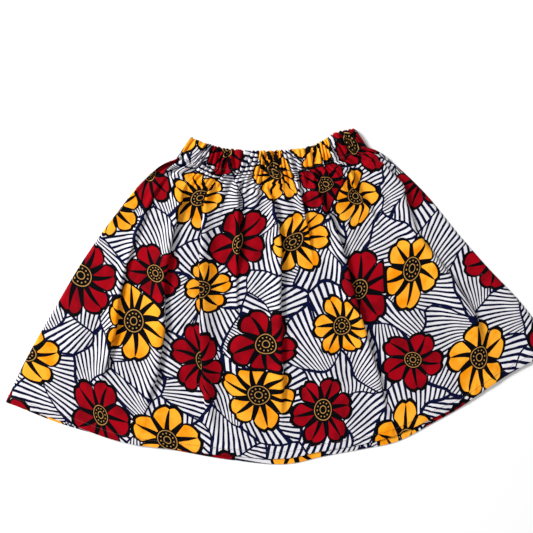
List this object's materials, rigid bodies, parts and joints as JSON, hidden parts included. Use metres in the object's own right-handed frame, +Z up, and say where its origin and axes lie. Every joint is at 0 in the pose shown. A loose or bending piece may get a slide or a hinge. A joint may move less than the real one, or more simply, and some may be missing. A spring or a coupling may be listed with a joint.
{
  "type": "child's flared skirt of printed cotton",
  "caption": "Gathered, flared skirt of wax-print style cotton with an elasticated waist casing, laid flat on a surface.",
  "frame": {"origin": "on the table, under the middle of the laid-out garment's outline", "axes": "+X along the garment from its left side to its right, +Y from hem to waist, +Z up from the table"},
  "size_m": [0.7485, 0.4491, 0.012],
  "materials": {
    "printed_cotton": "plain-weave cotton, wax-print style, matt with a slight dressed sheen",
    "casing_cotton": "the same cotton, doubled and gathered over elastic"
  },
  "bodies": {
    "root": {"panel_front": "printed_cotton", "panel_back": "printed_cotton", "casing_front": "casing_cotton", "casing_back": "casing_cotton"}
  },
  "joints": []
}
